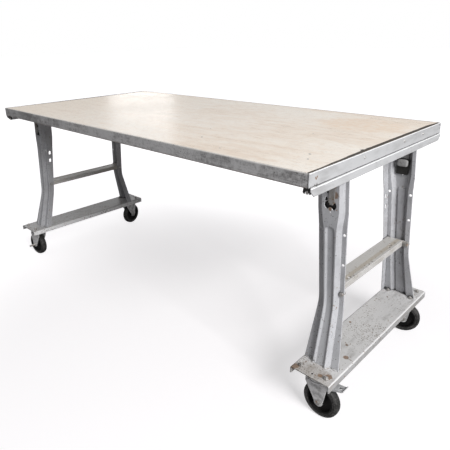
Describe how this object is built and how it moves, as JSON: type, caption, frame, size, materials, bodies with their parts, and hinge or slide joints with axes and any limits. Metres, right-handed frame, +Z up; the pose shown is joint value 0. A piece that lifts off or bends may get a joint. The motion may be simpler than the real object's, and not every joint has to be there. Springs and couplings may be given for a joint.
{
  "type": "mobile assembly table",
  "caption": "Long steel-edged work table on pressed-steel legs with crossbars, channel feet and swivel castors.",
  "frame": {"origin": "on the floor, under the middle of the table", "axes": "+X along the table, +Y across it towards the back, +Z up"},
  "size_m": [1.964, 0.9, 0.85],
  "materials": {
    "laminate": "worn satin",
    "board": "raw particle board",
    "band_steel": "worn grey enamel",
    "leg_steel": "worn grey enamel",
    "foot_steel": "worn grey enamel",
    "strap_steel": "stained",
    "castor_steel": "zinc plated, dulled",
    "tyre_rubber": "matt",
    "wheel_plastic": "satin",
    "fastener_steel": "zinc plated, spots of rust",
    "dark_steel": "black"
  },
  "bodies": {
    "table": {"back_band": "band_steel", "band_screws": "fastener_steel", "castor_back_left_plate": "castor_steel", "castor_back_left_race_ring": "castor_steel", "castor_back_right_plate": "castor_steel", "castor_back_right_race_ring": "castor_steel", "castor_front_left_plate": "castor_steel", "castor_front_left_race_ring": "castor_steel", "castor_front_right_plate": "castor_steel", "castor_front_right_race_ring": "castor_steel", "castor_mount_bolts": "fastener_steel", "castor_mount_nuts": "fastener_steel", "corner_bolts": "fastener_steel", "corner_wing_nuts": "dark_steel", "crossbar_bolts": "fastener_steel", "front_band": "band_steel", "head_bracket_back_left": "dark_steel", "head_bracket_back_right": "dark_steel", "head_bracket_front_left": "dark_steel", "head_bracket_front_right": "dark_steel", "head_strap_back_left": "strap_steel", "head_strap_back_right": "strap_steel", "head_strap_front_left": "strap_steel", "head_strap_front_right": "strap_steel", "kingpins": "castor_steel", "left_band": "band_steel", "left_crossbar": "leg_steel", "left_foot": "foot_steel", "left_rail": "band_steel", "leg_back_left": "leg_steel", "leg_back_right": "leg_steel", "leg_front_left": "leg_steel", "leg_front_right": "leg_steel", "right_band": "band_steel", "right_crossbar": "leg_steel", "right_foot": "foot_steel", "right_rail": "band_steel", "strap_bolts": "fastener_steel", "top_board": "board", "top_bolts": "fastener_steel", "top_sheet": "laminate"},
    "castor_front_left_swivel": {"castor_front_left_fork": "castor_steel", "castor_front_left_axle": "fastener_steel"},
    "castor_front_left_wheel": {"castor_front_left_wheel_centre": "wheel_plastic", "castor_front_left_tyre": "tyre_rubber"},
    "castor_back_left_swivel": {"castor_back_left_fork": "castor_steel", "castor_back_left_axle": "fastener_steel"},
    "castor_back_left_wheel": {"castor_back_left_wheel_centre": "wheel_plastic", "castor_back_left_tyre": "tyre_rubber"},
    "castor_front_right_swivel": {"castor_front_right_fork": "castor_steel", "castor_front_right_axle": "fastener_steel", "brake_pedal_pin": "castor_steel"},
    "castor_front_right_wheel": {"castor_front_right_wheel_centre": "wheel_plastic", "castor_front_right_tyre": "tyre_rubber"},
    "castor_back_right_swivel": {"castor_back_right_fork": "castor_steel", "castor_back_right_axle": "fastener_steel"},
    "castor_back_right_wheel": {"castor_back_right_wheel_centre": "wheel_plastic", "castor_back_right_tyre": "tyre_rubber"},
    "brake": {"brake_pedal": "castor_steel"}
  },
  "joints": [
    {"name": "castor_front_left_swivel_turn", "type": "hinge", "parent": "table", "child": "castor_front_left_swivel", "pos_m": [-0.893, -0.376, 0.15], "axis": [0, 0, 1], "continuous": true},
    {"name": "castor_front_left_wheel_spin", "type": "hinge", "parent": "castor_front_left_swivel", "child": "castor_front_left_wheel", "pos_m": [-0.91087, -0.37819, 0.0625], "axis": [0.1219, -0.9925, 0], "continuous": true},
    {"name": "castor_back_left_swivel_turn", "type": "hinge", "parent": "table", "child": "castor_back_left_swivel", "pos_m": [-0.893, 0.256, 0.15], "axis": [0, 0, 1], "continuous": true},
    {"name": "castor_back_left_wheel_spin", "type": "hinge", "parent": "castor_back_left_swivel", "child": "castor_back_left_wheel", "pos_m": [-0.89613, 0.27373, 0.0625], "axis": [-0.9848, -0.1736, 0], "continuous": true},
    {"name": "castor_front_right_swivel_turn", "type": "hinge", "parent": "table", "child": "castor_front_right_swivel", "pos_m": [0.893, -0.311, 0.15], "axis": [0, 0, 1], "continuous": true},
    {"name": "castor_front_right_wheel_spin", "type": "hinge", "parent": "castor_front_right_swivel", "child": "castor_front_right_wheel", "pos_m": [0.911, -0.311, 0.0625], "axis": [0, 1, 0], "continuous": true},
    {"name": "castor_back_right_swivel_turn", "type": "hinge", "parent": "table", "child": "castor_back_right_swivel", "pos_m": [0.893, 0.321, 0.15], "axis": [0, 0, 1], "continuous": true},
    {"name": "castor_back_right_wheel_spin", "type": "hinge", "parent": "castor_back_right_swivel", "child": "castor_back_right_wheel", "pos_m": [0.9103, 0.32596, 0.0625], "axis": [-0.2756, 0.9613, 0], "continuous": true},
    {"name": "brake_pedal_press", "type": "hinge", "parent": "castor_front_right_swivel", "child": "brake", "pos_m": [0.943, -0.311, 0.131], "axis": [0, 1, 0], "range_deg": [0, 25]}
  ]
}
